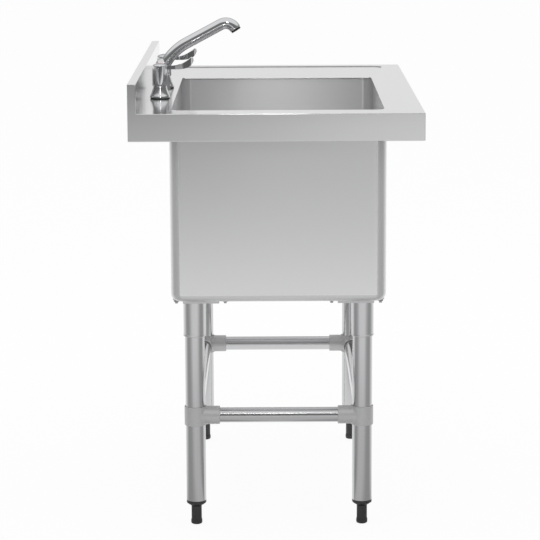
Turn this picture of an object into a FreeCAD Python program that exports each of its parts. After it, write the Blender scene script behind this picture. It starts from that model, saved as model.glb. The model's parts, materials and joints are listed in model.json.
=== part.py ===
import FreeCAD, Part
import math
import os
import Sketcher
from FreeCAD import Matrix, Placement, Rotation, Vector

os.makedirs("parts", exist_ok=True)
doc = FreeCAD.newDocument("CateringSink")

# Driving sizes, in millimetres (degrees for the spout angles). X runs along the sink with the
# bowl end at -X, Y from the user (-Y) to the wall (+Y), Z up from the floor.
SIZES = {
    # folded top
    "top_width": 1000, "top_depth": 600, "work_height": 900, "sheet": 1.2,
    "apron_deep": 56.5, "hem": 12, "upstand_high": 60, "upstand_thick": 18,
    # pressed drainer and the sloped strip in front of the bowl
    "dish_deep": 3, "dish_shallow": 1.5, "dish_end_rim": 34, "dish_front_rim": 40,
    "dish_rear_rim": 52, "dish_wall": 5, "dish_corner": 26, "dish_turn": 76,
    "dish_swing": 17, "slope_fall": 0.05, "slope_stop": 20,
    # bowl, by the opening above it; its walls stand rim_lap outside that opening
    "bowl_offset": 62, "drainer_long": 280, "bowl_front": 79, "bowl_deep": 398,
    "bowl_corner": 20, "bowl_foot_corner": 16, "rim_lap": 5, "washer_room": 8,
    "waste_bore": 45, "waste_dish": 92, "waste_drop": 4,
    # underframe
    "leg_inset": 150, "leg_tuck": 41, "leg_dia": 42, "leg_wall": 1.5,
    "brace_height": 239, "brace_dia": 32, "brace_wall": 1.5, "brace_gap": 1.5,
    "collar_wall": 2.5, "collar_long": 42, "socket_wall": 3.5, "socket_grip": 29.5,
    "sleeve_wall": 3, "sleeve_long": 76.5, "screw_dia": 5, "screw_start": 3.5, "screw_gap": 17,
    "screw_sunk": 0.3,
    # pressed leg brackets, their fixings and the channel
    "pan_side": 76, "pan_deep": 12.5, "pan_sheet": 2, "brim_x": 15, "brim_y": 20,
    "bracket_shift": 15, "stud_out_x": 5, "stud_out_y": 13, "stud_dia": 6, "stud_drop": 10.5, "nut_flats": 10,
    "nut_thick": 5, "channel_edge": 5, "channel_drop": 28,
    # feet
    "insert_head": 11.5, "foot_high": 41.5, "foot_dia": 22, "foot_base": 24, "stem_dia": 12,
    "stem_long": 44, "insert_long": 30, "run_gap": 0.05,
    # tap
    "tap_back": 53, "tap_spacing": 210, "gasket": 2, "tap_base_dia": 43, "tap_neck_dia": 29,
    "handle_dia": 32, "handle_start": 27, "handle_top": 70, "handle_dome": 5,
    "handle_wall": 2, "valve_dia": 19, "spindle_dia": 8, "body_gap": 0.5,
    "bridge_dia": 22, "bridge_drop": 1.5, "hub_dia": 34, "hub_top": 36, "nut_ring": 6,
    "spout_dia": 25, "spout_bore": 16, "spout_stand": 12, "spout_shoulder": 12,
    "spout_lean": 61, "spout_rise": 28, "spout_nod": 58, "spout_bend": 120,
    "spout_rise_run": 9, "spout_run": 84, "spout_elbow": 23,
    "spout_skirt": 30, "aerator_dia": 22, "aerator_long": 4, "oring": 1.5,
    "tail_dia": 20.8, "tail_bore": 13, "tail_drop": 50, "tail_groove": 2, "tap_hole": 28,
    "backnut_flats": 30, "backnut_thick": 8, "washer_dia": 38, "washer_thick": 2,
    "lever_reach": 72, "lever_wide": 16, "lever_neck": 11, "index_dia": 9,
}

sheet = doc.addObject("Spreadsheet::Sheet", "Sizes")
for row, (alias, value) in enumerate(SIZES.items(), start=1):
    sheet.set("A%d" % row, alias)
    sheet.set("B%d" % row, str(value))
    sheet.setAlias("B%d" % row, alias)
doc.recompute()


class Numbers:
    """Reads one driving size from the sheet by its alias."""

    def __getattr__(self, alias):
        return float(sheet.get(alias))


n = Numbers()
nodes = {}          # file name -> document object


def bind(obj, prop, rule):
    """Tie a property to the sheet; a word in the rule that is an alias gets the sheet's name."""
    words = []
    for word in rule.replace("(", " ( ").replace(")", " ) ").split():
        words.append("Sizes." + word if word in SIZES else word)
    obj.setExpression(prop, " ".join(words))


def place(obj, at=("0", "0", "0"), axis=None, angle=0.0):
    """Give the object its place; each coordinate is a rule in terms of the sheet."""
    if axis:
        obj.Placement = Placement(Vector(), Rotation(Vector(*axis), angle))
    for name, rule in zip("xyz", at):
        bind(obj, "Placement.Base." + name, rule)
    return obj


def box(name, size, at):
    obj = doc.addObject("Part::Box", name)
    for prop, rule in zip(("Length", "Width", "Height"), size):
        bind(obj, prop, rule)
    return place(obj, at)


def rod(name, radius, height, at, axis=None, angle=0.0):
    obj = doc.addObject("Part::Cylinder", name)
    bind(obj, "Radius", radius)
    bind(obj, "Height", height)
    return place(obj, at, axis, angle)


def cone(name, low, high, height, at, axis=None, angle=0.0):
    obj = doc.addObject("Part::Cone", name)
    bind(obj, "Radius1", low)
    bind(obj, "Radius2", high)
    bind(obj, "Height", height)
    return place(obj, at, axis, angle)


def hexagon(name, flats, height, at):
    obj = doc.addObject("Part::Prism", name)
    obj.Polygon = 6
    bind(obj, "Circumradius", "( %s ) / 1.7320508" % flats)
    bind(obj, "Height", height)
    return place(obj, at)


def fuse(name, *shapes):
    obj = doc.addObject("Part::MultiFuse", name)
    obj.Shapes = list(shapes)
    obj.Refine = True
    return obj


def cut(name, base, *tools):
    obj = doc.addObject("Part::Cut", name)
    obj.Base = base
    obj.Tool = tools[0] if len(tools) == 1 else fuse(name + "_tools", *tools)
    obj.Refine = True
    return obj


def common(name, first, second):
    obj = doc.addObject("Part::Common", name)
    obj.Base, obj.Tool = first, second
    return obj


def group(name, *shapes):
    obj = doc.addObject("Part::Compound", name)
    obj.Links = list(shapes)
    return obj


def feature(name, shape):
    obj = doc.addObject("Part::Feature", name)
    obj.Shape = shape
    return obj


def keep(name, obj):
    """Mark an object as a finished sub-part, written under this name."""
    obj.Label = name
    nodes[name] = obj
    return obj


def origin_plane(body, role):
    return next(f for f in body.Origin.OriginFeatures if f.Role == role)


def new_sketch(body, name, role="XY_Plane", lift=None):
    sk = body.newObject("Sketcher::SketchObject", name)
    sk.AttachmentSupport = (origin_plane(body, role), [""])
    sk.MapMode = "FlatFace"
    if lift:
        bind(sk, "AttachmentOffset.Base.z", lift)
    return sk


def close_loop(sk, points):
    """Straight outline through the points, its corners joined."""
    first = None
    for i, start in enumerate(points):
        end = points[(i + 1) % len(points)]
        index = sk.addGeometry(Part.LineSegment(Vector(*start, 0), Vector(*end, 0)), False)
        first = index if first is None else first
        if i:
            sk.addConstraint(Sketcher.Constraint("Coincident", index - 1, 2, index, 1))
    sk.addConstraint(Sketcher.Constraint("Coincident", index, 2, first, 1))


def rectangle(sk, x_rules, y_rules):
    """Rectangle whose four sides stand at the given distances, bound to the sheet."""
    xs, ys = (-50.0, 50.0), (-40.0, 40.0)
    close_loop(sk, [(xs[0], ys[0]), (xs[1], ys[0]), (xs[1], ys[1]), (xs[0], ys[1])])
    for line in (0, 2):
        sk.addConstraint(Sketcher.Constraint("Horizontal", line))
    for line in (1, 3):
        sk.addConstraint(Sketcher.Constraint("Vertical", line))
    for kind, line, point, rule in (
        ("DistanceX", 0, 1, x_rules[0]), ("DistanceX", 1, 1, x_rules[1]),
        ("DistanceY", 0, 1, y_rules[0]), ("DistanceY", 2, 1, y_rules[1]),
    ):
        value = xs[0] if (line, kind) == (0, "DistanceX") else 10.0
        index = sk.addConstraint(Sketcher.Constraint(kind, -1, 1, line, point, value))
        bind(sk, "Constraints[%d]" % index, rule)


def round_edges(body, name, base, rule, test):
    """Fillet the edges of the base feature that pass the test."""
    doc.recompute()
    found = ["Edge%d" % (i + 1) for i, e in enumerate(base.Shape.Edges) if test(e)]
    fillet = body.newObject("PartDesign::Fillet", name)
    fillet.Base = (base, found)
    bind(fillet, "Radius", rule)
    doc.recompute()
    return fillet


def revolved(name, profile, at):
    """Turned piece: a closed (radius, height) outline spun about a vertical axis."""
    body = doc.addObject("PartDesign::Body", name)
    sk = new_sketch(body, name + "_outline", "XZ_Plane")
    close_loop(sk, profile)
    spin = body.newObject("PartDesign::Revolution", name + "_spin")
    spin.Profile = sk
    spin.ReferenceAxis = (sk, ["V_Axis"])
    spin.Angle = 360
    body.Tip = spin
    place(body, at)
    return body


def outline(points, radii, z=0.0):
    """Flat closed wire through the points, each corner rounded by its own radius."""
    ends, arcs = [], []
    count = len(points)
    for i, point in enumerate(points):
        here = Vector(*point)
        back = (Vector(*points[i - 1]) - here).normalize()
        ahead = (Vector(*points[(i + 1) % count]) - here).normalize()
        if radii[i] == 0:
            ends.append((here, here))
            arcs.append(None)
            continue
        half = back.getAngle(ahead) / 2
        reach = radii[i] / math.tan(half)
        middle = here + (back + ahead).normalize() * (radii[i] / math.sin(half) - radii[i])
        ends.append((here + back * reach, here + ahead * reach))
        arcs.append(Part.Arc(ends[i][0], middle, ends[i][1]).toShape())
    edges = []
    for i in range(count):
        if arcs[i]:
            edges.append(arcs[i])
        edges.append(Part.makeLine(ends[i][1], ends[(i + 1) % count][0]))
    wire = Part.Wire(edges)
    wire.translate(Vector(0, 0, z))
    return wire


def prism(wire, height):
    return Part.Face(wire).extrude(Vector(0, 0, height))


# Places worked out from the driving sizes.
half_width = n.top_width / 2
half_depth = n.top_depth / 2
bowl_back = n.tap_back + n.washer_dia / 2 + n.washer_room + n.rim_lap
bowl_x0, bowl_x1 = n.bowl_offset - half_width, half_width - n.drainer_long
bowl_y0, bowl_y1 = n.bowl_front - half_depth, half_depth - bowl_back
BOWL_X = "( bowl_offset - drainer_long ) / 2"
BOWL_BACK = "( tap_back + washer_dia / 2 + washer_room + rim_lap )"
TAP_Y = "top_depth / 2 - tap_back"
HANDS = (("hot", -1), ("cold", 1))


def pillar_x(sign):
    return BOWL_X + " %s tap_spacing / 2" % ("+" if sign > 0 else "-")


# ---- folded top ----------------------------------------------------------------------------

def recess_outline(inset, z):
    """Plan of the drainer's recess, drawn in on every side but the bowl's by the inset."""
    open_x = bowl_x1 - n.bowl_corner + 2
    end_x = half_width - n.dish_end_rim - inset
    front = n.dish_front_rim - half_depth + inset
    rear = half_depth - n.dish_rear_rim - inset
    turn_x = bowl_x1 + n.dish_turn
    radius = n.dish_corner - inset
    points = [(open_x, bowl_y0 + 5 + inset), (turn_x, front + n.dish_swing), (end_x, front),
              (end_x, rear), (turn_x, rear - n.dish_swing / 2), (open_x, bowl_y1 - 5 - inset)]
    return outline(points, [0, 0, radius, radius, 0, 0], z)


def drainer_recess(z):
    """Recess of the drainer under the level z: sides that lean outwards, floor that falls to
    the bowl."""
    deep, over = n.dish_deep, 2.0
    lean = n.dish_wall / deep
    sides = Part.makeLoft([recess_outline(-over * lean, over),
                           recess_outline((deep + over) * lean, -deep - over)], True, True)
    end_x = half_width - n.dish_end_rim
    far_x, near_x = end_x + 60, bowl_x1 - 60
    fall = (deep - n.dish_shallow) / (end_x - bowl_x1)
    above = Part.Face(Part.makePolygon([
        Vector(x, -half_depth, fall * (x - bowl_x1) - deep + lift)
        for x, lift in ((near_x, 0), (far_x, 0), (far_x, 40), (near_x, 40), (near_x, 0))]))
    recess = sides.common(above.extrude(Vector(0, n.top_depth, 0)))
    recess.translate(Vector(0, 0, z))
    return recess


def strip_slope(z):
    """Front strip's fall towards the bowl and the drainer, one flat face under the level z. It
    starts on a crease that leaves the bowl's edge near its left end and meets the drainer's
    front edge near its far end."""
    front = n.dish_front_rim - half_depth
    end_x, turn_x = half_width - n.dish_end_rim, bowl_x1 + n.dish_turn
    edge_fall = n.dish_swing / (end_x - turn_x)
    x0 = bowl_x0 + 2 * n.bowl_corner
    x1 = end_x - n.dish_corner - n.slope_stop
    y1 = front + (end_x - x1) * edge_fall
    run = (y1 - bowl_y0) / (x1 - x0)

    def corner(x, y):
        return Vector(x, y, (bowl_y0 + run * (x - x0) - y) * n.slope_fall)
    left, right = x0 - n.bowl_corner / 2, x1 + 8
    past = n.dish_wall / 2
    points = [corner(left, bowl_y0 - 10), corner(right, y1 - 10),
              corner(right, front + (end_x - right) * edge_fall + 1),
              corner(turn_x, front + n.dish_swing + past),
              corner(bowl_x1, bowl_y0 + past), corner(bowl_x1 - n.bowl_corner, bowl_y0 + n.bowl_corner),
              corner(left, bowl_y0 + n.bowl_corner)]
    wedge = Part.Face(Part.makePolygon(points + points[:1])).extrude(Vector(0, 0, 30))
    wedge.translate(Vector(0, 0, z))
    return wedge


def make_top():
    """Folded sheet with aprons, upstand, bowl opening, tap holes and the pressed drainer. Gives
    the sheet, and the two pressed hollows for what stands up against it from below."""
    floor_z = n.work_height - n.apron_deep
    back_z = n.work_height - n.sheet
    slab = box("top_slab", ("top_width", "top_depth", "apron_deep"),
               ("top_width / -2", "top_depth / -2", "work_height - apron_deep"))
    upstand = box("top_upstand", ("top_width", "upstand_thick", "apron_deep + upstand_high"),
                  ("top_width / -2", "top_depth / 2 - upstand_thick", "work_height - apron_deep"))
    plan = outline([(bowl_x0, bowl_y0), (bowl_x1, bowl_y0), (bowl_x1, bowl_y1), (bowl_x0, bowl_y1)],
                   [n.bowl_corner] * 4, floor_z)
    bowl_mouth = feature("bowl_mouth", prism(plan, n.apron_deep + 5))
    holes = [rod("tap_hole_" + hand, "tap_hole / 2", "apron_deep / 2",
                 (pillar_x(sign), TAP_Y, "work_height - apron_deep / 2 + 5"))
             for hand, sign in HANDS]
    block = cut("top_opened", fuse("top_outside", slab, upstand), bowl_mouth)
    for hole in holes:
        block = cut(hole.Name + "_cut", block, hole)
    hollows = (feature("drainer_recess", drainer_recess(n.work_height)),
               feature("strip_wedge", strip_slope(n.work_height)))
    backs = (feature("drainer_recess_back", drainer_recess(back_z)),
             feature("strip_wedge_back", strip_slope(back_z)))

    room = box("top_room", ("top_width - 2 * sheet", "top_depth - 2 * sheet", "apron_deep - 2 * sheet"),
               ("sheet - top_width / 2", "sheet - top_depth / 2", "work_height - apron_deep + sheet"))
    mouth = box("top_mouth", ("top_width - 2 * hem", "top_depth - 2 * hem", "sheet * 3"),
                ("hem - top_width / 2", "hem - top_depth / 2", "work_height - apron_deep - sheet"))
    fold = box("top_fold_room",
               ("top_width - 2 * sheet", "upstand_thick - 2 * sheet",
                "apron_deep + upstand_high - 2 * sheet"),
               ("sheet - top_width / 2", "top_depth / 2 - upstand_thick + sheet",
                "work_height - apron_deep + sheet"))
    for i in (0, 1):
        block = cut("top_pressed_%d" % i, block, hollows[i])
        room = cut("top_room_pressed_%d" % i, room, backs[i])
    inside = fuse("top_inside", room, mouth, fold)
    skin = keep("sink_top", cut("top_skin", block, inside))
    return skin, hollows


# ---- bowl ----------------------------------------------------------------------------------

def bowl_block(name, grow, down, floor_z, foot):
    """Block with rounded corners, the bowl's opening grown by the given distance all round."""
    body = doc.addObject("PartDesign::Body", name)
    x_rules = ("bowl_offset - top_width / 2 - " + grow, "top_width / 2 - drainer_long + " + grow)
    y_rules = ("bowl_front - top_depth / 2 - " + grow, "top_depth / 2 - " + BOWL_BACK + " + " + grow)
    plan = new_sketch(body, name + "_plan", lift="work_height")
    rectangle(plan, x_rules, y_rules)
    pad = body.newObject("PartDesign::Pad", name + "_pad")
    pad.Profile = plan
    bind(pad, "Length", "bowl_deep + " + down)
    pad.Reversed = True
    sides = round_edges(body, name + "_corners", pad, "bowl_corner + " + grow,
                        lambda e: abs(e.tangentAt(e.FirstParameter).z) > 0.99)
    round_edges(body, name + "_foot", sides, foot,
                lambda e: abs(e.BoundBox.ZMax - floor_z) < 1e-4)
    return body


def make_bowl(skin, hollows):
    """Pressed bowl with rounded corners and a recessed waste, its rim up against the top."""
    floor_z = n.work_height - n.bowl_deep
    outer = bowl_block("bowl_outside", "rim_lap", "sheet", floor_z - n.sheet,
                       "bowl_foot_corner + sheet")
    inner = bowl_block("bowl_inside", "( rim_lap - sheet )", "0", floor_z, "bowl_foot_corner")
    shell = cut("bowl_shell", outer, inner)
    at = (BOWL_X, "( bowl_front - " + BOWL_BACK + " ) / 2", "work_height - bowl_deep - waste_drop - sheet")
    dish = cone("waste_dish_outside", "waste_dish / 2 - waste_drop", "waste_dish / 2 + sheet",
                "waste_drop + sheet", at)
    dish_in = cone("waste_dish_inside", "waste_dish / 2 - waste_drop - sheet", "waste_dish / 2",
                   "waste_drop + 0.01", at[:2] + ("work_height - bowl_deep - waste_drop",))
    hole = rod("waste_hole", "waste_bore / 2", "waste_drop + 20",
               at[:2] + ("work_height - bowl_deep - waste_drop - 10",))
    formed = cut("bowl_formed", fuse("bowl_with_dish", shell, dish), dish_in, hole)
    for i, tool in enumerate((skin, *hollows)):
        formed = cut("bowl_trimmed_%d" % i, formed, tool)
    keep("bowl", formed)


# ---- underframe ----------------------------------------------------------------------------

SIDES = (("left", -1), ("right", 1))
ENDS = (("front", -1), ("rear", 1))
CORNERS = [(side + "_" + end, sx, sy) for side, sx in SIDES for end, sy in ENDS]


def signed(sign, rule):
    return ("( %s )" if sign > 0 else "0 - ( %s )") % rule


LEG_X = "top_width / 2 - leg_inset"
BRACE_START = "( leg_dia / 2 + brace_gap )"
TUBE_END = "( foot_high + insert_head )"
CHANNEL_WIDE = "( pan_side + 2 * brim_x + 2 * channel_edge )"


def leg_y(sy):
    """The legs stand as far inside the bowl's front edge as inside its rear edge."""
    return ("top_depth / 2 - " + BOWL_BACK + " - leg_tuck" if sy > 0
            else "bowl_front + leg_tuck - top_depth / 2")


def bracket_top(sx):
    return "work_height - bowl_deep - sheet" if sx < 0 else "work_height - channel_drop"


def make_bracket(name, sx, sy):
    """Hat-shaped pressing: brims against what it carries, its crown down to the leg's sleeve."""
    top = bracket_top(sx)
    x, y = signed(sx, LEG_X), leg_y(sy) + " - %d * bracket_shift" % sy
    brim = box(name + "_brim", ("pan_side + 2 * brim_x", "pan_side + 2 * brim_y", "pan_sheet"),
               (x + " - pan_side / 2 - brim_x", y + " - pan_side / 2 - brim_y", top + " - pan_sheet"))
    crown = box(name + "_crown", ("pan_side", "pan_side", "pan_deep"),
                (x + " - pan_side / 2", y + " - pan_side / 2", top + " - pan_deep"))
    room = box(name + "_room", ("pan_side - 2 * pan_sheet", "pan_side - 2 * pan_sheet", "pan_deep"),
               (x + " - pan_side / 2 + pan_sheet", y + " - pan_side / 2 + pan_sheet",
                top + " - pan_deep + pan_sheet"))
    holes = [rod("%s_hole_%d" % (name, i), "stud_dia / 2", "pan_sheet * 3",
                 stud_place(sx, sy, dx, dy) + (top + " - pan_sheet * 2",))
             for i, (dx, dy) in enumerate(QUARTERS)]
    return keep(name, cut(name + "_cut", fuse(name + "_hat", brim, crown), room, *holes))


QUARTERS = ((-1, -1), (1, -1), (1, 1), (-1, 1))


def stud_place(sx, sy, dx, dy):
    return (signed(sx, LEG_X) + " + %d * ( pan_side / 2 + stud_out_x )" % dx,
            leg_y(sy) + " - %d * bracket_shift + %d * ( pan_side / 2 + stud_out_y )" % (sy, dy))


def make_bracket_nuts(side, sx):
    """The weld studs and hexagon nuts of one side's two brackets."""
    shapes = []
    top = bracket_top(sx)
    for end, sy in ENDS:
        for i, (dx, dy) in enumerate(QUARTERS):
            name = "%s_%s_stud_%d" % (side, end, i)
            at = stud_place(sx, sy, dx, dy)
            stud = rod(name, "stud_dia / 2", "stud_drop", at + (top + " - stud_drop",))
            nut = hexagon(name + "_nut", "nut_flats", "nut_thick",
                          at + (top + " - pan_sheet - nut_thick",))
            shapes.append(fuse(name + "_set", stud, nut))
    keep(side + "_bracket_nuts", group(side + "_bracket_nuts_all", *shapes))


def make_channel(skin, hollows):
    """Channel folded up to the underside of the drainer, carrying the two right-hand legs."""
    long, level = "top_depth - 2 * sheet", "work_height - channel_drop"
    x, y = LEG_X + " - " + CHANNEL_WIDE + " / 2", "sheet - top_depth / 2"
    outer = box("channel_block", (CHANNEL_WIDE, long, "channel_drop"), (x, y, level))
    inner = box("channel_room", (CHANNEL_WIDE + " - 2 * pan_sheet", long + " + 2", "channel_drop"),
                (x + " + pan_sheet", y + " - 1", level + " + pan_sheet"))
    folded = cut("channel_folded", outer, inner)
    for i, tool in enumerate((skin, *hollows)):
        folded = cut("channel_trimmed_%d" % i, folded, tool)
    keep("drainer_channel", folded)


def make_leg(name, sx, sy):
    x, y = signed(sx, LEG_X), leg_y(sy)
    top = bracket_top(sx) + " - pan_deep"
    sleeve = rod(name + "_sleeve_outside", "leg_dia / 2 + sleeve_wall", "sleeve_long",
                 (x, y, top + " - sleeve_long"))
    sleeve_bore = rod(name + "_sleeve_bore", "leg_dia / 2", "sleeve_long + 2",
                      (x, y, top + " - sleeve_long - 1"))
    keep("leg_sleeve_" + name, cut(name + "_sleeve", sleeve, sleeve_bore))
    long = top + " - " + TUBE_END
    outer = rod(name + "_tube_outside", "leg_dia / 2", long, (x, y, TUBE_END))
    inner = rod(name + "_tube_bore", "leg_dia / 2 - leg_wall", long + " + 2", (x, y, TUBE_END + " - 1"))
    keep("leg_" + name, cut(name + "_tube", outer, inner))


def make_fitting(name, sx, sy):
    """Cast corner: a collar round the leg with one socket along the sink and one across it."""
    x, y = signed(sx, LEG_X), leg_y(sy)
    collar = rod(name + "_collar", "leg_dia / 2 + collar_wall", "collar_long",
                 (x, y, "brace_height - collar_long / 2"))
    bore = rod(name + "_collar_bore", "leg_dia / 2", "collar_long + 2",
               (x, y, "brace_height - collar_long / 2 - 1"))
    along = ((0, 1, 0), -90 * sx)
    across = ((1, 0, 0), 90 * sy)
    sockets, bores, screws = [], [], []
    for tag, (axis, angle) in (("along", along), ("across", across)):
        dx = -sx if tag == "along" else 0
        dy = -sy if tag == "across" else 0
        sockets.append(rod("%s_socket_%s" % (name, tag), "brace_dia / 2 + socket_wall",
                           BRACE_START + " + socket_grip", (x, y, "brace_height"), axis, angle))
        start = (x + " + %d * " % dx + BRACE_START, y + " + %d * " % dy + BRACE_START, "brace_height")
        bores.append(rod("%s_socket_bore_%s" % (name, tag), "brace_dia / 2",
                         "socket_grip + 20", start, axis, angle))
        for i in (0, 1):
            reach = " * ( " + BRACE_START + " + screw_start + %d * screw_gap )" % i
            inward = " * brace_dia / 2"
            steps = (("%d" % dx + reach, "%d" % -sy + inward) if dx
                     else ("%d" % -sx + inward, "%d" % dy + reach))
            seat = (x + " + " + steps[0], y + " + " + steps[1], "brace_height")
            turn = ((1, 0, 0), 90 * sy) if dx else ((0, 1, 0), -90 * sx)
            screws.append(rod("%s_screw_%s_%d" % (name, tag, i), "screw_dia / 2",
                              "socket_wall - screw_sunk", seat, *turn))
    casting = cut(name + "_casting", fuse(name + "_solid", collar, *sockets), bore, *bores)
    keep("corner_fitting_" + name, cut(name + "_tapped", casting, *screws))
    return screws


def make_brace(name, start, length, axis, angle):
    outer = rod(name + "_outside", "brace_dia / 2", length, start, axis, angle)
    inner = rod(name + "_bore", "brace_dia / 2 - brace_wall", length, start, axis, angle)
    keep(name, cut(name + "_tube", outer, inner))


def make_underframe(skin, hollows):
    make_channel(skin, hollows)
    screws = []
    for name, sx, sy in CORNERS:
        make_bracket("leg_bracket_" + name, sx, sy)
        make_leg(name, sx, sy)
        screws += make_fitting(name, sx, sy)
    for side, sx in SIDES:
        make_bracket_nuts(side, sx)
        make_brace("brace_" + side,
                   (signed(sx, LEG_X), leg_y(-1) + " + " + BRACE_START, "brace_height"),
                   "top_depth - bowl_front - " + BOWL_BACK + " - 2 * leg_tuck - 2 * " + BRACE_START,
                   (1, 0, 0), -90)
    for end, sy in ENDS:
        make_brace("brace_" + end,
                   (signed(-1, LEG_X) + " + " + BRACE_START, leg_y(sy), "brace_height"),
                   "top_width - 2 * leg_inset - 2 * " + BRACE_START, (0, 1, 0), 90)
    keep("grub_screws", group("grub_screws_all", *screws))


def make_foot(name, sx, sy):
    """Plastic insert pressed in the tube's end, and the foot whose stem screws up into it."""
    x, y = signed(sx, LEG_X), leg_y(sy)
    low, top = n.foot_high, n.foot_high + n.insert_head
    plug, rim, hole = n.leg_dia / 2 - n.leg_wall, n.leg_dia / 2, n.stem_dia / 2 + n.run_gap
    neck = n.foot_dia / 2 + 1.5
    insert = revolved("insert_" + name, [
        (hole, low), (neck, low), (neck + 2.5, low + 1.5), (rim - 0.6, top - 6), (rim, top - 5),
        (rim, top), (plug, top), (plug, top + n.insert_long), (hole, top + n.insert_long)],
        (x, y, "0"))
    keep("foot_insert_" + name, insert)
    body, base, stem = n.foot_dia / 2, n.foot_base / 2, n.stem_dia / 2
    foot = revolved("screw_foot_" + name, [
        (0, 0), (base - 3, 0), (base - 0.8, 1.2), (base, 3.5), (base, 9), (body, 12), (body, low - 1.5),
        (body - 1.5, low), (stem, low), (stem, low + n.stem_long), (0, low + n.stem_long)],
        (x, y, "0"))
    keep("foot_" + name, foot)


# ---- tap -----------------------------------------------------------------------------------

def make_tap_body():
    """One casting: two flared pillars, the bridge between them and the spout's hub."""
    neck, base = n.tap_neck_dia / 2, n.tap_base_dia / 2
    pillars = []
    for hand, sign in HANDS:
        shoulder = n.handle_start
        profile = [
            (0, n.gasket), (base, n.gasket), (base, n.gasket + 2.5), (base - 1.2, n.gasket + 4.5),
            (base - 3.2, n.gasket + 9), (neck + 1.2, shoulder - 8), (neck, shoulder - 2),
            (neck - 0.8, shoulder), (neck - 3.2, shoulder), (neck - 3.2, shoulder + 14), (0, shoulder + 14)]
        pillars.append(revolved("pillar_" + hand, profile, (pillar_x(sign), TAP_Y, "work_height")))
    bridge = rod("bridge_bar", "bridge_dia / 2", "tap_spacing",
                 (pillar_x(-1), TAP_Y, "work_height + handle_start - bridge_drop - bridge_dia / 2"),
                 (0, 1, 0), 90)
    hub = rod("spout_hub", "hub_dia / 2", "hub_top - 8", (BOWL_X, TAP_Y, "work_height + 8"))
    solid = fuse("tap_solid", bridge, hub, *pillars)
    bores = [rod("valve_bore_" + hand, "valve_dia / 2", "60",
                 (pillar_x(sign), TAP_Y, "work_height + handle_start - 12"))
             for hand, sign in HANDS]
    bores += [rod("tail_seat_" + hand, "tail_dia / 2", "8 + gasket",
                  (pillar_x(sign), TAP_Y, "work_height"))
              for hand, sign in HANDS]
    bores.append(rod("spout_seat", "spout_bore / 2 + 2 + run_gap", "hub_top",
                     (BOWL_X, TAP_Y, "work_height + 14")))
    keep("tap_body", cut("tap_bored", solid, *bores))


def make_valve(hand, sign):
    """Quarter-turn valve in its pillar; its spindle turns with the handle."""
    x = pillar_x(sign)
    start = "work_height + handle_start - 12"
    outer = rod(hand + "_valve_outside", "valve_dia / 2", "30", (x, TAP_Y, start))
    bore = rod(hand + "_valve_bore", "spindle_dia / 2 + run_gap", "30", (x, TAP_Y, start + " + 4"))
    keep(hand + "_valve", cut(hand + "_valve_body", outer, bore))
    spindle = rod(hand + "_spindle_rod", "spindle_dia / 2", "handle_top - 6 - handle_start + 8",
                  (x, TAP_Y, "work_height + handle_start - 8"))
    keep(hand + "_spindle", spindle)


def lever_blade():
    """Side profile of the lever, thin at the handle and dished up at its end."""
    u, top = n.lever_reach, n.handle_top
    low = [(10, top - 8.5), (24, top - 8), (u - 18, top - 6), (u - 7, top - 1), (u - 1, top + 7.5)]
    high = [(u - 5, top + 17), (u - 21, top + 6), (u - 34, top + 0.8), (20, top - 1.3), (10, top - 1.5)]

    def curve(points):
        spline = Part.BSplineCurve()
        spline.interpolate([Vector(0, -reach, z) for reach, z in points])
        return spline.toShape()
    lower, upper = curve(low), curve(high)
    tip = Part.Arc(Vector(0, -low[-1][0], low[-1][1]), Vector(0, -u, top + 14),
                   Vector(0, -high[0][0], high[0][1])).toShape()
    root = Part.makeLine(Vector(0, -high[-1][0], high[-1][1]), Vector(0, -low[0][0], low[0][1]))
    side = Part.Face(Part.Wire([lower, tip, upper, root]))
    side.translate(Vector(-n.lever_wide / 2, 0, 0))
    side_solid = side.extrude(Vector(n.lever_wide, 0, 0))
    wide, neck, end = n.lever_wide / 2, n.lever_neck / 2, u + 1
    plan = outline([(-neck, -8), (-neck, -0.45 * u), (-wide, -0.72 * u), (-wide, -end), (wide, -end),
                    (wide, -0.72 * u), (neck, -0.45 * u), (neck, -8)],
                   [0, 12, 12, wide * 0.96, wide * 0.96, 12, 12, 0], top - 20)
    return side_solid.common(prism(plan, 50))


def make_handle(hand, sign):
    radius, wall, top, dome = n.handle_dia / 2, n.handle_wall, n.handle_top, n.handle_dome
    low = n.handle_start + n.body_gap
    boss, pin = n.spindle_dia / 2 + 3, n.spindle_dia / 2
    ceiling = top - 5
    profile = [
        (pin, ceiling - 14), (pin, ceiling - 1), (0, ceiling - 1), (0, top + dome),
        (radius * 0.4, top + dome * 0.9), (radius * 0.75, top + dome * 0.55), (radius - 1, top + 1),
        (radius, top - 1), (radius, low),
        (radius - wall, low), (radius - wall, ceiling), (boss, ceiling), (boss, ceiling - 14)]
    at = (pillar_x(sign), TAP_Y, "work_height")
    shell = revolved(hand + "_handle_shell", profile, at)
    blade = place(feature(hand + "_lever_blade", lever_blade()), at)
    hollow = rod(hand + "_handle_hollow", "handle_dia / 2 - handle_wall",
                 "handle_top - 5 - handle_start", at[:2] + ("work_height + handle_start",))
    seat = rod(hand + "_index_seat", "index_dia / 2", "10",
               at[:2] + ("work_height + handle_top + handle_dome - 1.6",))
    blade_cut = cut(hand + "_lever_root", blade, hollow)
    whole = fuse(hand + "_handle_and_lever", shell, blade_cut)
    keep(hand + "_handle", cut(hand + "_handle_whole", whole, seat))
    cap = rod(hand + "_index_disc", "index_dia / 2", "1.4",
              at[:2] + ("work_height + handle_top + handle_dome - 1.6",))
    keep(hand + "_index", cap)


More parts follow.
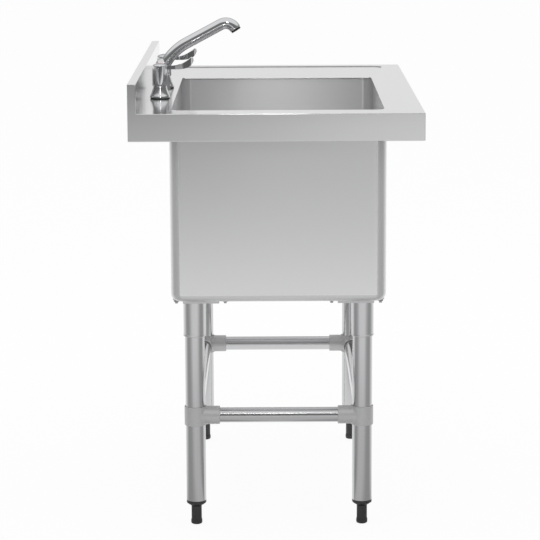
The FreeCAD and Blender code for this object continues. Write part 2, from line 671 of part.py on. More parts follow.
def spout_path():
    """Centre line of the spout in its own plane: up from the hub, a wide bend, a straight run
    and the elbow down to the outlet. Gives the wire and the outlet's place and direction."""
    def point(pos):
        return Vector(0, -pos[0], pos[1])
    here, heading = (0.0, 0.0), 90.0
    edges = []
    steps = (("arc", 10.0, heading - n.spout_lean),
             ("line", n.spout_rise_run, 0.0),
             ("arc", n.spout_bend, n.spout_lean - n.spout_rise),
             ("line", n.spout_run, 0.0),
             ("arc", n.spout_elbow, n.spout_rise + n.spout_nod),
             ("line", 2.0, 0.0))
    for kind, amount, turn in steps:
        if kind == "line":
            a = math.radians(heading)
            ahead = (here[0] + amount * math.cos(a), here[1] + amount * math.sin(a))
            edges.append(Part.makeLine(point(here), point(ahead)))
        else:
            a = math.radians(heading)
            centre = (here[0] + amount * math.sin(a), here[1] - amount * math.cos(a))
            marks = []
            for part in (0.5, 1.0):
                b = math.radians(heading - turn * part)
                marks.append((centre[0] - amount * math.sin(b), centre[1] + amount * math.cos(b)))
            edges.append(Part.Arc(point(here), point(marks[0]), point(marks[1])).toShape())
            ahead = marks[1]
            heading -= turn
        here = ahead
    a = math.radians(heading)
    return Part.Wire(edges), point(here), Vector(0, -math.cos(a), math.sin(a))


def make_spout():
    path, outlet, heading = spout_path()
    def swept(radius):
        ring = Part.Wire(Part.makeCircle(radius, Vector(), Vector(0, 0, 1)))
        return path.makePipeShell([ring], True, False)
    skirt, bore = n.spout_skirt / 2, n.spout_bore / 2
    stem = bore + 2
    root = n.hub_top + n.spout_stand
    low = n.hub_top + n.nut_ring + n.body_gap - root
    seat = 14 - root
    at = (BOWL_X, TAP_Y, "work_height + hub_top + spout_stand")
    turned = Part.makeCylinder(skirt, n.spout_shoulder - low, Vector(0, 0, low))
    dome = Part.makeSphere(skirt, Vector(0, 0, n.spout_shoulder))
    shank = Part.makeCylinder(stem, -seat, Vector(0, 0, seat))
    outside = turned.fuse([dome, shank, swept(n.spout_dia / 2)])
    outside = outside.fuse(Part.makeCylinder(n.aerator_dia / 2, 4, outlet - heading * 4, heading))
    channel = swept(bore).fuse([Part.makeCylinder(bore, 80, Vector(0, 0, -80)),
                                Part.makeCylinder(bore, 12, outlet, heading)])
    groove = Part.makeTorus(stem - n.oring / 2 + n.run_gap, n.oring / 2, Vector(0, 0, seat + 10))
    outside = outside.cut([channel, groove]).removeSplitter()
    ring = groove.common(Part.makeCylinder(stem, 20, Vector(0, 0, seat)))
    keep("spout_oring", place(feature("oring", ring), at))
    keep("spout", place(feature("spout_tube", outside), at))
    ring = Part.makeCylinder(n.aerator_dia / 2, n.aerator_long, outlet, heading)
    ring = ring.cut(Part.makeCylinder(n.aerator_dia / 2 - 3, n.aerator_long, outlet, heading))
    keep("aerator_ring", place(feature("aerator_collar", ring), at))
    disc = Part.makeCylinder(n.aerator_dia / 2 - 3, 3, outlet + heading * (n.aerator_long - 4), heading)
    keep("aerator_insert", place(feature("aerator_disc", disc), at))


def ring_piece(name, outer, inner, height, at):
    solid = rod(name + "_disc", outer, height, at)
    hole = rod(name + "_hole", inner, height + " + 2", at[:2] + (at[2] + " - 1",))
    return keep(name, cut(name + "_ring", solid, hole))


def make_tail(hand, x):
    """Threaded tail down through the top; a relief groove parts the backnut's thread from the
    free end that takes the pipe's nut."""
    low = "work_height - tail_drop"
    shank = rod(hand + "_shank", "tail_dia / 2", "tail_drop + 8 + gasket", (x, TAP_Y, low))
    bore = rod(hand + "_waterway", "tail_bore / 2", "tail_drop + 12 + gasket", (x, TAP_Y, low + " - 1"))
    under_nut = "work_height - sheet - washer_thick - backnut_thick - tail_groove"
    ring = rod(hand + "_relief_disc", "tail_dia / 2 + 1", "tail_groove", (x, TAP_Y, under_nut))
    core = rod(hand + "_relief_core", "tail_dia / 2 - 1", "tail_groove", (x, TAP_Y, under_nut))
    keep(hand + "_tail", cut(hand + "_tail_cut", shank, bore, cut(hand + "_relief", ring, core)))


def make_tap():
    make_tap_body()
    for hand, sign in HANDS:
        x = pillar_x(sign)
        make_valve(hand, sign)
        make_handle(hand, sign)
        ring_piece(hand + "_gasket", "tap_base_dia / 2 - 1", "tail_dia / 2", "gasket",
                   (x, TAP_Y, "work_height"))
        make_tail(hand, x)
        ring_piece(hand + "_washer", "washer_dia / 2", "tail_dia / 2", "washer_thick",
                   (x, TAP_Y, "work_height - sheet - washer_thick"))
        at = (x, TAP_Y, "work_height - sheet - washer_thick - backnut_thick")
        nut = hexagon(hand + "_backnut_block", "backnut_flats", "backnut_thick", at)
        hole = rod(hand + "_backnut_hole", "tail_dia / 2", "backnut_thick + 2", at)
        keep(hand + "_backnut", cut(hand + "_backnut_cut", nut, hole))
    ring_piece("spout_nut", "hub_dia / 2 - 1", "spout_bore / 2 + 2 + 0.3", "nut_ring",
               (BOWL_X, TAP_Y, "work_height + hub_top"))
    make_spout()


skin, hollows = make_top()
make_bowl(skin, hollows)
make_underframe(skin, hollows)
for name, sx, sy in CORNERS:
    make_foot(name, sx, sy)
make_tap()
doc.recompute()

faults = [o.Label + " " + "/".join(o.State) for o in doc.Objects
          if "Invalid" in o.State or "Error" in o.State]
for name, obj in nodes.items():
    if obj.Shape.isNull() or not obj.Shape.isValid() or not obj.Shape.Solids:
        faults.append(name + " has no sound solid")
if faults:
    raise RuntimeError("; ".join(faults))
for name, obj in nodes.items():
    obj.Shape.exportStep("parts/%s.step" % name)
print(len(nodes), "parts written")
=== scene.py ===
import bpy, bmesh, json, math
from mathutils import Matrix, Vector


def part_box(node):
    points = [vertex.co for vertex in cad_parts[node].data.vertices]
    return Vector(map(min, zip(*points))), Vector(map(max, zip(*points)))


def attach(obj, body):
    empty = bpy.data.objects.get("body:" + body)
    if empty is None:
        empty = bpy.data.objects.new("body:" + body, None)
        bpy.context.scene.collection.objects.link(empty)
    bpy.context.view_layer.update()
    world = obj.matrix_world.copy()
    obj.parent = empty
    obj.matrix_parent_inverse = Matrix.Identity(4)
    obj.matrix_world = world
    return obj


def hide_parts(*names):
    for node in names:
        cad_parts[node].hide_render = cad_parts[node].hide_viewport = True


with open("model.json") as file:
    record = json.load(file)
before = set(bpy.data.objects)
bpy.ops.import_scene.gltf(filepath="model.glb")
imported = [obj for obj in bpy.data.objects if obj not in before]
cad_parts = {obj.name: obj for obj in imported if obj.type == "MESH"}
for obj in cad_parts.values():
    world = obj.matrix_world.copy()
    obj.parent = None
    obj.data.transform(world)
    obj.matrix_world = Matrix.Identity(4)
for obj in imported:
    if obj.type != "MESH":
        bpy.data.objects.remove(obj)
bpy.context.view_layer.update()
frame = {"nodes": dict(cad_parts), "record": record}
print("frame loaded:", len(frame["nodes"]), "nodes")


# small helpers for node materials: the noise levels at which a finish has its two tones,
# and a Mix node's two inputs and its output for each kind of value
toneLevels = (0.3, 0.7)
mixSlots = {"FLOAT": (2, 3, 0), "RGBA": (6, 7, 2)}


def newMaterial(name):
    mat = bpy.data.materials.new(name)
    mat.use_nodes = True
    nodes = mat.node_tree.nodes
    return mat, nodes, mat.node_tree.links, nodes["Principled BSDF"]


def addNode(nodes, kind, **values):
    node = nodes.new(kind)
    for key, value in values.items():
        if key in node.inputs:
            node.inputs[key].default_value = value
        else:
            setattr(node, key, value)
    return node


def feed(links, socket, value):
    if hasattr(value, "default_value"):
        links.new(value, socket)
    else:
        socket.default_value = value


def calc(nodes, links, operation, first, second=0.0):
    node = addNode(nodes, "ShaderNodeMath", operation=operation)
    feed(links, node.inputs[0], first)
    feed(links, node.inputs[1], second)
    return node.outputs["Value"]


def spread(nodes, links, source, fromRange, toRange, soft=False):
    node = addNode(nodes, "ShaderNodeMapRange", interpolation_type="SMOOTHSTEP" if soft else "LINEAR")
    node.inputs["From Min"].default_value, node.inputs["From Max"].default_value = fromRange
    node.inputs["To Min"].default_value, node.inputs["To Max"].default_value = toRange
    links.new(source, node.inputs["Value"])
    return node.outputs["Result"]


def place(nodes, links):
    apart = addNode(nodes, "ShaderNodeSeparateXYZ")
    links.new(addNode(nodes, "ShaderNodeTexCoord").outputs["Object"], apart.inputs["Vector"])
    return apart.outputs["X"], apart.outputs["Y"], apart.outputs["Z"]


def grain(nodes, links, scale):
    mapping = addNode(nodes, "ShaderNodeMapping")
    mapping.inputs["Scale"].default_value = scale
    noise = addNode(nodes, "ShaderNodeTexNoise", Scale=1.0, Detail=3.0, Roughness=0.6)
    links.new(addNode(nodes, "ShaderNodeTexCoord").outputs["Object"], mapping.inputs["Vector"])
    links.new(mapping.outputs["Vector"], noise.inputs["Vector"])
    return noise.outputs["Fac"]


def either(nodes, links, switch, whenOff, whenOn, kind="FLOAT"):
    node = addNode(nodes, "ShaderNodeMix", data_type=kind)
    off, on, result = mixSlots[kind]
    links.new(switch, node.inputs["Factor"])
    feed(links, node.inputs[off], whenOff)
    feed(links, node.inputs[on], whenOn)
    return node.outputs[result]


def ramp(nodes, links, source, stops):
    node = addNode(nodes, "ShaderNodeValToRGB")
    first, last = node.color_ramp.elements
    first.position, last.position = stops[0][0], stops[-1][0]
    first.color, last.color = (*stops[0][1], 1), (*stops[-1][1], 1)
    for position, colour in stops[1:-1]:
        node.color_ramp.elements.new(position).color = (*colour, 1)
    links.new(source, node.inputs["Fac"])
    return node.outputs["Color"]


def twoTones(nodes, links, source, first, second):
    return ramp(nodes, links, source, list(zip(toneLevels, (first, second))))


def greyRamp(nodes, links, source, stops):
    low, high = stops[0][0], stops[-1][0]
    along = spread(nodes, links, source, (low, high), (0.0, 1.0))
    return ramp(nodes, links, along, [((at - low) / (high - low), (grey,) * 3) for at, grey in stops])


def bumpFrom(nodes, links, shader, source, strength, distance=0.0002):
    bump = addNode(nodes, "ShaderNodeBump", Strength=strength, Distance=distance)
    links.new(source, bump.inputs["Height"])
    links.new(bump.outputs["Normal"], shader.inputs["Normal"])


def finishMetal(nodes, links, shader, source, tone, dip, roughness, bump):
    shader.inputs["Metallic"].default_value = 1.0
    low = tuple(c * (1 - dip) for c in tone)
    links.new(twoTones(nodes, links, source, low, tone), shader.inputs["Base Color"])
    links.new(spread(nodes, links, source, (0.0, 1.0), roughness), shader.inputs["Roughness"])
    if bump:
        bumpFrom(nodes, links, shader, source, bump)


# folded top: fine grain along the sink, and along Y on the two end aprons beyond endFrom
topFinish = {"tone": (0.80, 0.80, 0.805), "dip": 0.03, "roughness": (0.13, 0.17), "bump": 0.008,
             "grain": (3, 700, 700), "endGrain": (700, 3, 700), "endFrom": 0.4985}


def brushedTopMaterial():
    mat, nodes, links, shader = newMaterial("brushedTop")
    x = place(nodes, links)[0]
    fromCentre = calc(nodes, links, "ABSOLUTE", x)
    onEnd = calc(nodes, links, "GREATER_THAN", fromCentre, topFinish["endFrom"])
    fibres = either(nodes, links, onEnd, grain(nodes, links, topFinish["grain"]),
                    grain(nodes, links, topFinish["endGrain"]))
    finishMetal(nodes, links, shader, fibres, topFinish["tone"], topFinish["dip"],
                topFinish["roughness"], topFinish["bump"])
    return mat


# bowl: polished outside, satin inside; the inside starts a skin in from the walls and above insideFrom
bowlFinish = {"tone": (0.76, 0.76, 0.765), "dip": 0.02, "grain": (20, 20, 900), "bump": 0.012,
              "roughness": (0.12, 0.16), "satin": (0.31, 0.36), "satinMetallic": 0.80,
              "stretch": 0.9, "stretchTurn": 0.25, "skin": 0.0008, "insideFrom": 0.5015}


def withinWalls(nodes, links, value, low, high):
    fromMiddle = calc(nodes, links, "ABSOLUTE", calc(nodes, links, "SUBTRACT", value, (low + high) / 2))
    return calc(nodes, links, "LESS_THAN", fromMiddle, (high - low) / 2 - bowlFinish["skin"])


def pressedBowlMaterial():
    mat, nodes, links, shader = newMaterial("pressedBowl")
    low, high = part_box("bowl")
    x, y, z = place(nodes, links)
    within = calc(nodes, links, "MULTIPLY", withinWalls(nodes, links, x, low[0], high[0]),
                  withinWalls(nodes, links, y, low[1], high[1]))
    above = calc(nodes, links, "GREATER_THAN", z, bowlFinish["insideFrom"])
    inside = calc(nodes, links, "MULTIPLY", within, above)
    fibres = grain(nodes, links, bowlFinish["grain"])
    finishMetal(nodes, links, shader, fibres, bowlFinish["tone"], bowlFinish["dip"],
                bowlFinish["roughness"], bowlFinish["bump"])
    smooth = shader.inputs["Roughness"].links[0].from_socket
    satin = spread(nodes, links, fibres, (0.0, 1.0), bowlFinish["satin"])
    links.new(either(nodes, links, inside, smooth, satin), shader.inputs["Roughness"])
    links.new(either(nodes, links, inside, 1.0, bowlFinish["satinMetallic"]), shader.inputs["Metallic"])
    shader.inputs["Anisotropic"].default_value = bowlFinish["stretch"]
    shader.inputs["Anisotropic Rotation"].default_value = bowlFinish["stretchTurn"]
    around = addNode(nodes, "ShaderNodeTangent", direction_type="RADIAL", axis="Z")
    links.new(around.outputs["Tangent"], shader.inputs["Tangent"])
    return mat


# other metals: tone, how far it dips, grain, roughness from and to, bump
metals = {
    "drawnUp": ((0.62, 0.62, 0.63), 0.05, (350, 350, 5), (0.15, 0.20), 0.004),
    "drawnAlong": ((0.62, 0.62, 0.63), 0.05, (5, 350, 350), (0.15, 0.20), 0.004),
    "drawnAcross": ((0.62, 0.62, 0.63), 0.05, (350, 5, 350), (0.18, 0.24), 0.004),
    "castCorner": ((0.56, 0.56, 0.56), 0.10, (420, 420, 420), (0.42, 0.52), 0.16),
    "foldedSteel": ((0.62, 0.62, 0.63), 0.06, (4, 500, 500), (0.24, 0.32), 0.04),
    "platedFixing": ((0.50, 0.50, 0.51), 0.12, (300, 300, 300), (0.25, 0.38), 0.08),
    "blackedScrew": ((0.05, 0.05, 0.052), 0.3, (300, 300, 300), (0.35, 0.5), 0.08),
    "turnedBrass": ((0.78, 0.60, 0.30), 0.08, (90, 90, 900), (0.18, 0.30), 0.06),
    "chromePlate": ((0.74, 0.745, 0.755), 0.02, (40, 40, 40), (0.03, 0.05), 0.0),
}
# the rough castings are only partly metallic, the other metals wholly
metallicShare = {"castCorner": 0.5}
# mouldings: colour, paler colour, grain, roughness from and to, bump
mouldings = {
    "blackPlastic": ((0.020, 0.020, 0.021), (0.040, 0.040, 0.042), (500, 500, 500), (0.34, 0.46), 0.10),
    "blackRubber": ((0.016, 0.016, 0.016), (0.030, 0.030, 0.030), (700, 700, 700), (0.6, 0.8), 0.20),
    "blackOutlet": ((0.012, 0.012, 0.012), (0.022, 0.022, 0.022), (300, 300, 300), (0.25, 0.35), 0.05),
    "redIndex": ((0.52, 0.02, 0.018), (0.64, 0.035, 0.03), (200, 200, 200), (0.10, 0.18), 0.02),
    "blueIndex": ((0.02, 0.07, 0.50), (0.03, 0.11, 0.62), (200, 200, 200), (0.10, 0.18), 0.02),
}


def plainMetal(name):
    tone, dip, scale, roughness, bump = metals[name]
    mat, nodes, links, shader = newMaterial(name)
    finishMetal(nodes, links, shader, grain(nodes, links, scale), tone, dip, roughness, bump)
    shader.inputs["Metallic"].default_value = metallicShare.get(name, 1.0)
    return mat


def mouldedMaterial(name):
    dark, pale, scale, roughness, bump = mouldings[name]
    mat, nodes, links, shader = newMaterial(name)
    texture = grain(nodes, links, scale)
    links.new(twoTones(nodes, links, texture, dark, pale), shader.inputs["Base Color"])
    links.new(spread(nodes, links, texture, (0.0, 1.0), roughness), shader.inputs["Roughness"])
    bumpFrom(nodes, links, shader, texture, bump)
    return mat


finish = {name: plainMetal(name) for name in metals}
finish.update({name: mouldedMaterial(name) for name in mouldings})
finish["brushedTop"] = brushedTopMaterial()
finish["pressedBowl"] = pressedBowlMaterial()
finishOfSlot = {"brushed_top": "brushedTop", "brushed_bowl": "pressedBowl", "folded_steel": "foldedSteel",
                "tube_steel": "drawnUp", "cast_aluminium": "castCorner", "black_plastic": "blackPlastic",
                "fixing_steel": "platedFixing", "black_rubber": "blackRubber", "brass": "turnedBrass",
                "chrome": "chromePlate", "black_outlet": "blackOutlet", "red_index": "redIndex",
                "blue_index": "blueIndex"}
slotOfNode = {part["node"]: part["material_slot"] for part in frame["record"]["subparts"]}
bodies = frame["record"]["behaviour"]["bodies"]
bodyOfNode = {node: body for body, members in bodies.items() for node in members}
for name, obj in frame["nodes"].items():
    obj.data.materials.clear()
    obj.data.materials.append(finish[finishOfSlot[slotOfNode[name]]])
print("finishes assigned")


# pieces that take the place of the plain nodes: distances in metres, angles in degrees
joining = {"weld": 0.000002, "flatWithin": 0.4, "sameWithin": 0.00003}
done = set()


def mergedCopy(node):
    bm = bmesh.new()
    bm.from_mesh(frame["nodes"][node].data)
    bmesh.ops.remove_doubles(bm, verts=bm.verts, dist=joining["weld"])
    bmesh.ops.dissolve_limit(bm, angle_limit=math.radians(joining["flatWithin"]),
                             verts=bm.verts, edges=bm.edges)
    return bm


def edgeTurn(edge):
    return math.degrees(edge.calc_face_angle(0.0))


def bevelEdges(bm, edges, width, segments):
    edges = [edge for edge in edges if edge.is_valid]
    if edges:
        bmesh.ops.bevel(bm, geom=edges, offset=width, offset_type="OFFSET", affect="EDGES",
                        segments=segments, profile=0.5, material=-1, clamp_overlap=True)


def addPiece(bm, name, node, sharpFrom=38.0, weighted=True, finishName=None):
    for face in bm.faces:
        face.smooth = True
    for edge in bm.edges:
        edge.smooth = edgeTurn(edge) < sharpFrom
    mesh = bpy.data.meshes.new(name)
    bm.to_mesh(mesh)
    bm.free()
    piece = bpy.data.objects.new(name, mesh)
    bpy.context.scene.collection.objects.link(piece)
    mesh.materials.append(finish[finishName or finishOfSlot[slotOfNode[node]]])
    if weighted:
        even = piece.modifiers.new("evenShading", "WEIGHTED_NORMAL")
        even.keep_sharp = True
        even.weight = 100
    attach(piece, bodyOfNode[node])
    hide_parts(node)
    done.add(node)


def near(a, b):
    return abs(a - b) < joining["sameWithin"]


# folded top: rounded folds, cove in front of the upstand, rounded bowl mouth
sinkTop = {"foldRadius": 0.0014, "coveRadius": 0.003, "mouthRadius": 0.0009, "foldTurn": 60,
           "foldSteps": 3, "coveSteps": 4, "mouthSteps": 3,
           "deck": 0.900, "splashFront": 0.282, "mouthDepth": 0.0105}


def modelSinkTop():
    bm = mergedCopy("sink_top")
    (x0, y0, z0), (x1, y1, z1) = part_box("sink_top")
    deck, splashFront = sinkTop["deck"], sinkTop["splashFront"]
    folds, cove, mouth = [], [], []
    for edge in bm.edges:
        if edgeTurn(edge) <= sinkTop["foldTurn"]:
            continue
        a, b = (v.co for v in edge.verts)
        low = min(a.z, b.z)
        level = near(a.z, b.z)
        sides = sum((near(a.x, x0) and near(b.x, x0), near(a.x, x1) and near(b.x, x1),
                     near(a.y, y0) and near(b.y, y0), near(a.y, y1) and near(b.y, y1)))
        outerFold = sides == 1 and level and (near(low, deck) or near(low, z0))
        upstandEnd = sides == 1 and not level and near(a.y, splashFront) and near(b.y, splashFront)
        if sides == 2 or outerFold or (level and near(low, z1)):
            folds.append(edge)
        elif level and near(low, deck) and near(((a + b) / 2).y, splashFront):
            cove.append(edge)
        elif upstandEnd:
            folds.append(edge)
        elif low > deck - sinkTop["mouthDepth"]:
            mouth.append(edge)
    print("top edges:", len(folds), "folds,", len(cove), "cove,", len(mouth), "mouth")
    bevelEdges(bm, folds, sinkTop["foldRadius"], sinkTop["foldSteps"])
    bevelEdges(bm, cove, sinkTop["coveRadius"], sinkTop["coveSteps"])
    bevelEdges(bm, mouth, sinkTop["mouthRadius"], sinkTop["mouthSteps"])
    return bm


addPiece(modelSinkTop(), "sinkTopPiece", "sink_top")

# legs and braces: drawn tubes turned from their outlines
tubes = {"wall": 0.0015, "steps": 96, "mouthRadius": 0.0004}


def turnedPiece(outline, centre, along):
    bm = bmesh.new()
    ring = [bm.verts.new((radius, 0, height)) for radius, height in outline]
    edges = [bm.edges.new((ring[i - 1], ring[i])) for i in range(len(ring))]
    bmesh.ops.spin(bm, geom=ring + edges, cent=(0, 0, 0), axis=(0, 0, 1), angle=math.tau,
                   steps=tubes["steps"], use_merge=True, use_duplicate=False)
    turn = {"Z": Matrix.Identity(4), "X": Matrix.Rotation(math.pi / 2, 4, "Y"),
            "Y": Matrix.Rotation(-math.pi / 2, 4, "X")}[along]
    bmesh.ops.transform(bm, matrix=Matrix.Translation(centre) @ turn, verts=bm.verts)
    bmesh.ops.recalc_face_normals(bm, faces=bm.faces)
    return bm


def tubeOutline(outer, inner, low, high, edge):
    return [(inner + edge, low), (outer - edge, low), (outer, low + edge), (outer, high - edge),
            (outer - edge, high), (inner + edge, high), (inner, high - edge), (inner, low + edge)]


def modelTube(node, along):
    low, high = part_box(node)
    axis = "XYZ".index(along)
    centre = [(a + b) / 2 for a, b in zip(low, high)]
    half = (high[axis] - low[axis]) / 2
    across = (axis + 1) % 3 if along != "Z" else 1
    outer = round((high[across] - low[across]) / 2, 4)
    outline = tubeOutline(outer, outer - tubes["wall"], -half, half, tubes["mouthRadius"])
    return turnedPiece(outline, centre, along)


for node in [name for name in frame["nodes"] if name.startswith("brace_")]:
    along = "X" if node in ("brace_front", "brace_rear") else "Y"
    addPiece(modelTube(node, along), node.replace("_", "") + "Piece", node,
             finishName="drawnAlong" if along == "X" else "drawnAcross")

# sleeves: turned in the same way, with a lip round the lower end
sleeve = {"outer": 0.024, "inner": 0.021, "relief": 0.0005, "lip": 0.003, "lipEdge": 0.0006,
          "lipSlope": 0.0008, "topEdge": 0.0004}


def modelSleeve(corner):
    low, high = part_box("leg_sleeve_" + corner)
    centre = [(low[0] + high[0]) / 2, (low[1] + high[1]) / 2, 0]
    outer, inner, edge = sleeve["outer"], sleeve["inner"], sleeve["lipEdge"]
    body, lipTop = outer - sleeve["relief"], low[2] + sleeve["lip"]
    outline = [(inner, low[2]), (outer - edge, low[2]), (outer, low[2] + edge), (outer, lipTop),
               (body, lipTop + sleeve["lipSlope"]), (body, high[2] - sleeve["topEdge"]),
               (body - sleeve["topEdge"], high[2]), (inner, high[2])]
    return turnedPiece(outline, centre, "Z")


corners = ("left_front", "left_rear", "right_front", "right_rear")
for corner in corners:
    addPiece(modelTube("leg_" + corner, "Z"), "leg." + corner, "leg_" + corner)
    addPiece(modelSleeve(corner), "sleeve." + corner, "leg_sleeve_" + corner, sharpFrom=30)
print("tubes turned")

# cast corners and spout: remade on an even grid and smoothed, so that every edge is rounded
castCorner = {"grid": 0.0009, "rounds": 7, "sharpFrom": 75}
tapSpout = {"grid": 0.0007, "rounds": 9, "sharpFrom": 75}


def evenlyRounded(node, style):
    source = mergedCopy(node)
    mesh = bpy.data.meshes.new("castRough")
    source.to_mesh(mesh)
    source.free()
    rough = bpy.data.objects.new("castRough", mesh)
    bpy.context.scene.collection.objects.link(rough)
    remesh = rough.modifiers.new("evenGrid", "REMESH")
    remesh.mode, remesh.voxel_size = "VOXEL", style["grid"]
    ready = rough.evaluated_get(bpy.context.evaluated_depsgraph_get()).to_mesh()
    bm = bmesh.new()
    bm.from_mesh(ready)
    bpy.data.objects.remove(rough)
    bpy.data.meshes.remove(mesh)
    for _ in range(style["rounds"]):
        bmesh.ops.smooth_vert(bm, verts=bm.verts, factor=0.5,
                              use_axis_x=True, use_axis_y=True, use_axis_z=True)
    return bm


for corner in corners:
    addPiece(evenlyRounded("corner_fitting_" + corner, castCorner), "castCorner." + corner,
             "corner_fitting_" + corner, sharpFrom=castCorner["sharpFrom"], weighted=False)
print("cast corners made")

addPiece(evenlyRounded("spout", tapSpout), "spoutPiece", "spout",
         sharpFrom=tapSpout["sharpFrom"], weighted=False)
print("spout made")

# bowl, brackets, channel, fixings, feet and tap: copies, with the sharp edges of these softened
softened = {"leg_bracket": 0.0005, "drainer_channel": 0.0004, "tap_body": 0.0006,
            "hot_handle": 0.0007, "cold_handle": 0.0007, "spout_nut": 0.0006, "aerator_ring": 0.0005,
            "bracket_nuts": 0.0003, "index": 0.0003, "backnut": 0.0006, "washer": 0.0003}
softening = {"turnFrom": 40, "segments": 2}
# a socket in each end face of a grub screw, found by its area in square metres
grubScrew = {"endArea": (0.000015, 0.000025), "rim": 0.0012, "taper": 0.0001, "depth": 0.0018}


def addSockets(bm):
    least, most = grubScrew["endArea"]
    ends = [face for face in bm.faces if least < face.calc_area() < most]
    bmesh.ops.inset_individual(bm, faces=ends, thickness=grubScrew["rim"], depth=0.0)
    bmesh.ops.inset_individual(bm, faces=ends, thickness=grubScrew["taper"], depth=-grubScrew["depth"])


for node in [name for name in frame["nodes"] if name not in done]:
    bm = mergedCopy(node)
    if node == "grub_screws":
        addSockets(bm)
    width = next((value for part, value in softened.items() if part in node), 0.0)
    if width:
        sharp = [edge for edge in bm.edges if edgeTurn(edge) > softening["turnFrom"]]
        bevelEdges(bm, sharp, width, softening["segments"])
    addPiece(bm, node.replace("_", "") + "Piece", node,
             finishName="blackedScrew" if node == "grub_screws" else None)
print("other pieces made")

# studio floor: white to the camera; to the metal it glows with painted reflections, though it is no lamp:
# the painted grey goes by distance along X, as listed first, is paler on the front side where the floor
# is far, dims to either side and is white beyond that
studioFloor = {
    "size": 60.0, "drop": 0.0005, "white": 0.93, "greyer": 0.99, "grain": (3, 3, 3),
    "roughness": 0.9, "glow": 0.92,
    "away": [(-14.0, 0.04), (-9.8, 0.08), (-8.4, 0.72), (-6.8, 0.77), (-5.5, 0.50), (-4.0, 0.69),
             (-2.9, 0.98), (-2.2, 0.92), (-1.2, 0.64), (0.0, 0.58)],
    "tilt": (1.5, 0.62), "tiltSlope": (-0.13, 0.13), "tiltFade": (-7.0, -5.8), "leastAhead": 0.4,
    "band": 0.58, "bandTurn": (0.32, 1.05), "asideTurn": (1.35, 2.2), "turnAbout": -0.3}


def paleFloorMaterial():
    mat, nodes, links, shader = newMaterial("paleFloor")
    white = studioFloor["white"]
    texture = grain(nodes, links, studioFloor["grain"])
    links.new(twoTones(nodes, links, texture, (white,) * 3, (white * studioFloor["greyer"],) * 3),
              shader.inputs["Base Color"])
    shader.inputs["Roughness"].default_value = studioFloor["roughness"]
    x, y = place(nodes, links)[:2]
    # painted reflection: to glossy rays the floor glows with this grey by place along X
    away = greyRamp(nodes, links, x, studioFloor["away"])
    ahead = calc(nodes, links, "MAXIMUM", calc(nodes, links, "MULTIPLY", x, -1.0),
                 studioFloor["leastAhead"])
    tilt = spread(nodes, links, calc(nodes, links, "DIVIDE", y, ahead), studioFloor["tiltSlope"],
                  studioFloor["tilt"], soft=True)
    far = spread(nodes, links, x, studioFloor["tiltFade"], (1.0, 0.0), soft=True)
    base = calc(nodes, links, "MULTIPLY", away, either(nodes, links, far, 1.0, tilt))
    before = calc(nodes, links, "SUBTRACT", studioFloor["turnAbout"], x)
    turn = calc(nodes, links, "ABSOLUTE", calc(nodes, links, "ARCTAN2", y, before))
    band = spread(nodes, links, turn, studioFloor["bandTurn"], (1.0, studioFloor["band"]), soft=True)
    aside = spread(nodes, links, turn, studioFloor["asideTurn"], (0.0, 1.0), soft=True)
    # painted reflection: the glow strength that the metal sees, dimmed in a band ahead and white to the
    # sides
    paintedReflection = either(nodes, links, aside, calc(nodes, links, "MULTIPLY", base, band), 1.0)
    path = addNode(nodes, "ShaderNodeLightPath")
    glow = addNode(nodes, "ShaderNodeEmission")
    links.new(calc(nodes, links, "MAXIMUM", path.outputs["Is Camera Ray"], paintedReflection),
              glow.inputs["Strength"])
    anyRay = calc(nodes, links, "MAXIMUM", path.outputs["Is Camera Ray"],
                  calc(nodes, links, "MAXIMUM", path.outputs["Is Glossy Ray"],
                       path.outputs["Is Transmission Ray"]))
    blend = addNode(nodes, "ShaderNodeMixShader")
    links.new(calc(nodes, links, "MULTIPLY", anyRay, studioFloor["glow"]), blend.inputs["Fac"])
    links.new(shader.outputs["BSDF"], blend.inputs[1])
    links.new(glow.outputs["Emission"], blend.inputs[2])
    links.new(blend.outputs["Shader"], nodes["Material Output"].inputs["Surface"])
    return mat


bm = bmesh.new()
bmesh.ops.create_grid(bm, x_segments=4, y_segments=4, size=studioFloor["size"])
bmesh.ops.translate(bm, verts=bm.verts, vec=(0, 0, -studioFloor["drop"]))
floorMesh = bpy.data.meshes.new("studioFloor")
bm.to_mesh(floorMesh)
bm.free()
floorMesh.materials.append(paleFloorMaterial())
floor = bpy.data.objects.new("studioFloor", floorMesh)
bpy.context.scene.collection.objects.link(floor)

# studio world: white to the camera, an even fill for matte surfaces, and in the metal two sides of
# a room, each with its greys by height; sideShare is the open side's share by direction in X
studioRoom = {
    "sideShare": [(-1, 1.0), (0.3, 1.0), (0.75, 0.0), (1, 0.0)], "fillLight": 0.85,
    "openSide": [(-1, 0.85), (0, 0.84), (0.16, 0.84), (0.30, 0.40), (0.5, 0.5), (0.8, 0.75), (1, 0.85)],
    "darkSide": [(-1, 0.8), (-0.35, 0.75), (-0.12, 0.4), (0.0, 0.20), (0.25, 0.18), (0.45, 0.22),
                 (0.58, 0.85), (0.8, 0.9), (1, 0.85)]}

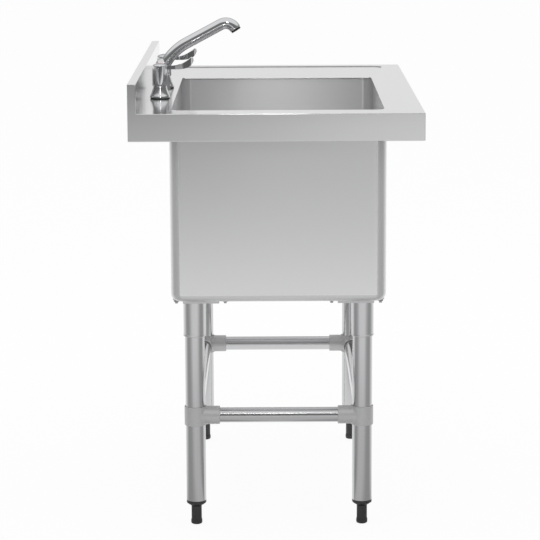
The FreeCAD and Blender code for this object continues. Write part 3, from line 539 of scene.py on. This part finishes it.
world = bpy.data.worlds.new("studioWorld")
bpy.context.scene.world = world
world.use_nodes = True
nodes, links = world.node_tree.nodes, world.node_tree.links
direction = addNode(nodes, "ShaderNodeSeparateXYZ")
links.new(addNode(nodes, "ShaderNodeTexCoord").outputs["Generated"], direction.inputs["Vector"])
room = either(nodes, links, greyRamp(nodes, links, direction.outputs["X"], studioRoom["sideShare"]),
              greyRamp(nodes, links, direction.outputs["Z"], studioRoom["openSide"]),
              greyRamp(nodes, links, direction.outputs["Z"], studioRoom["darkSide"]), "RGBA")
path = addNode(nodes, "ShaderNodeLightPath")
lit = either(nodes, links, path.outputs["Is Glossy Ray"], (*[studioRoom["fillLight"]] * 3, 1), room,
             "RGBA")
plain = calc(nodes, links, "MAXIMUM", path.outputs["Is Camera Ray"],
             path.outputs["Is Transmission Ray"])
links.new(either(nodes, links, plain, lit, (1, 1, 1, 1), "RGBA"), nodes["Background"].inputs["Color"])

# camera in front of the near end, turned a little from square
studioView = {"sensor": 36.0, "lens": 152.0, "at": (-5.0575, 0.0112, 1.4437), "pitch": 10.726,
              "yaw": 0.04, "roll": 0.26}

camData = bpy.data.cameras.new("studioCamera")
camData.sensor_width = studioView["sensor"]
camData.lens = studioView["lens"]
camera = bpy.data.objects.new("studioCamera", camData)
bpy.context.scene.collection.objects.link(camera)
look = Matrix.Rotation(math.radians(-90 + studioView["yaw"]), 4, "Z") \
    @ Matrix.Rotation(math.radians(90 - studioView["pitch"]), 4, "X") \
    @ Matrix.Rotation(math.radians(-studioView["roll"]), 4, "Z")
camera.matrix_world = Matrix.Translation(studioView["at"]) @ look
bpy.context.scene.camera = camera
bpy.context.scene.view_settings.view_transform = "Standard"

# lamps: place, what it faces, width and height, watts; the bowl's narrow strip has its own spread
lamps = {"overheadLamp": ((0.0, 0.0, 3.6), (0, 0, 0.8), (5.0, 4.0), 34),
         "bowlLamp": ((-2.3, 0.0, 2.0), (0.2, 0, 0.75), (0.12, 1.0), 0.18)}
bowlLampSpread = 30


def softLamp(name):
    at, target, size, power = lamps[name]
    data = bpy.data.lights.new(name, "AREA")
    data.shape = "RECTANGLE"
    data.size, data.size_y = size
    data.energy = power
    lamp = bpy.data.objects.new(name, data)
    bpy.context.scene.collection.objects.link(lamp)
    lamp.location = at
    lamp.rotation_euler = (Vector(target) - Vector(at)).to_track_quat("-Z", "Y").to_euler()
    return lamp


softLamp("overheadLamp").visible_glossy = False
softLamp("bowlLamp").data.spread = math.radians(bowlLampSpread)
print("studio ready")
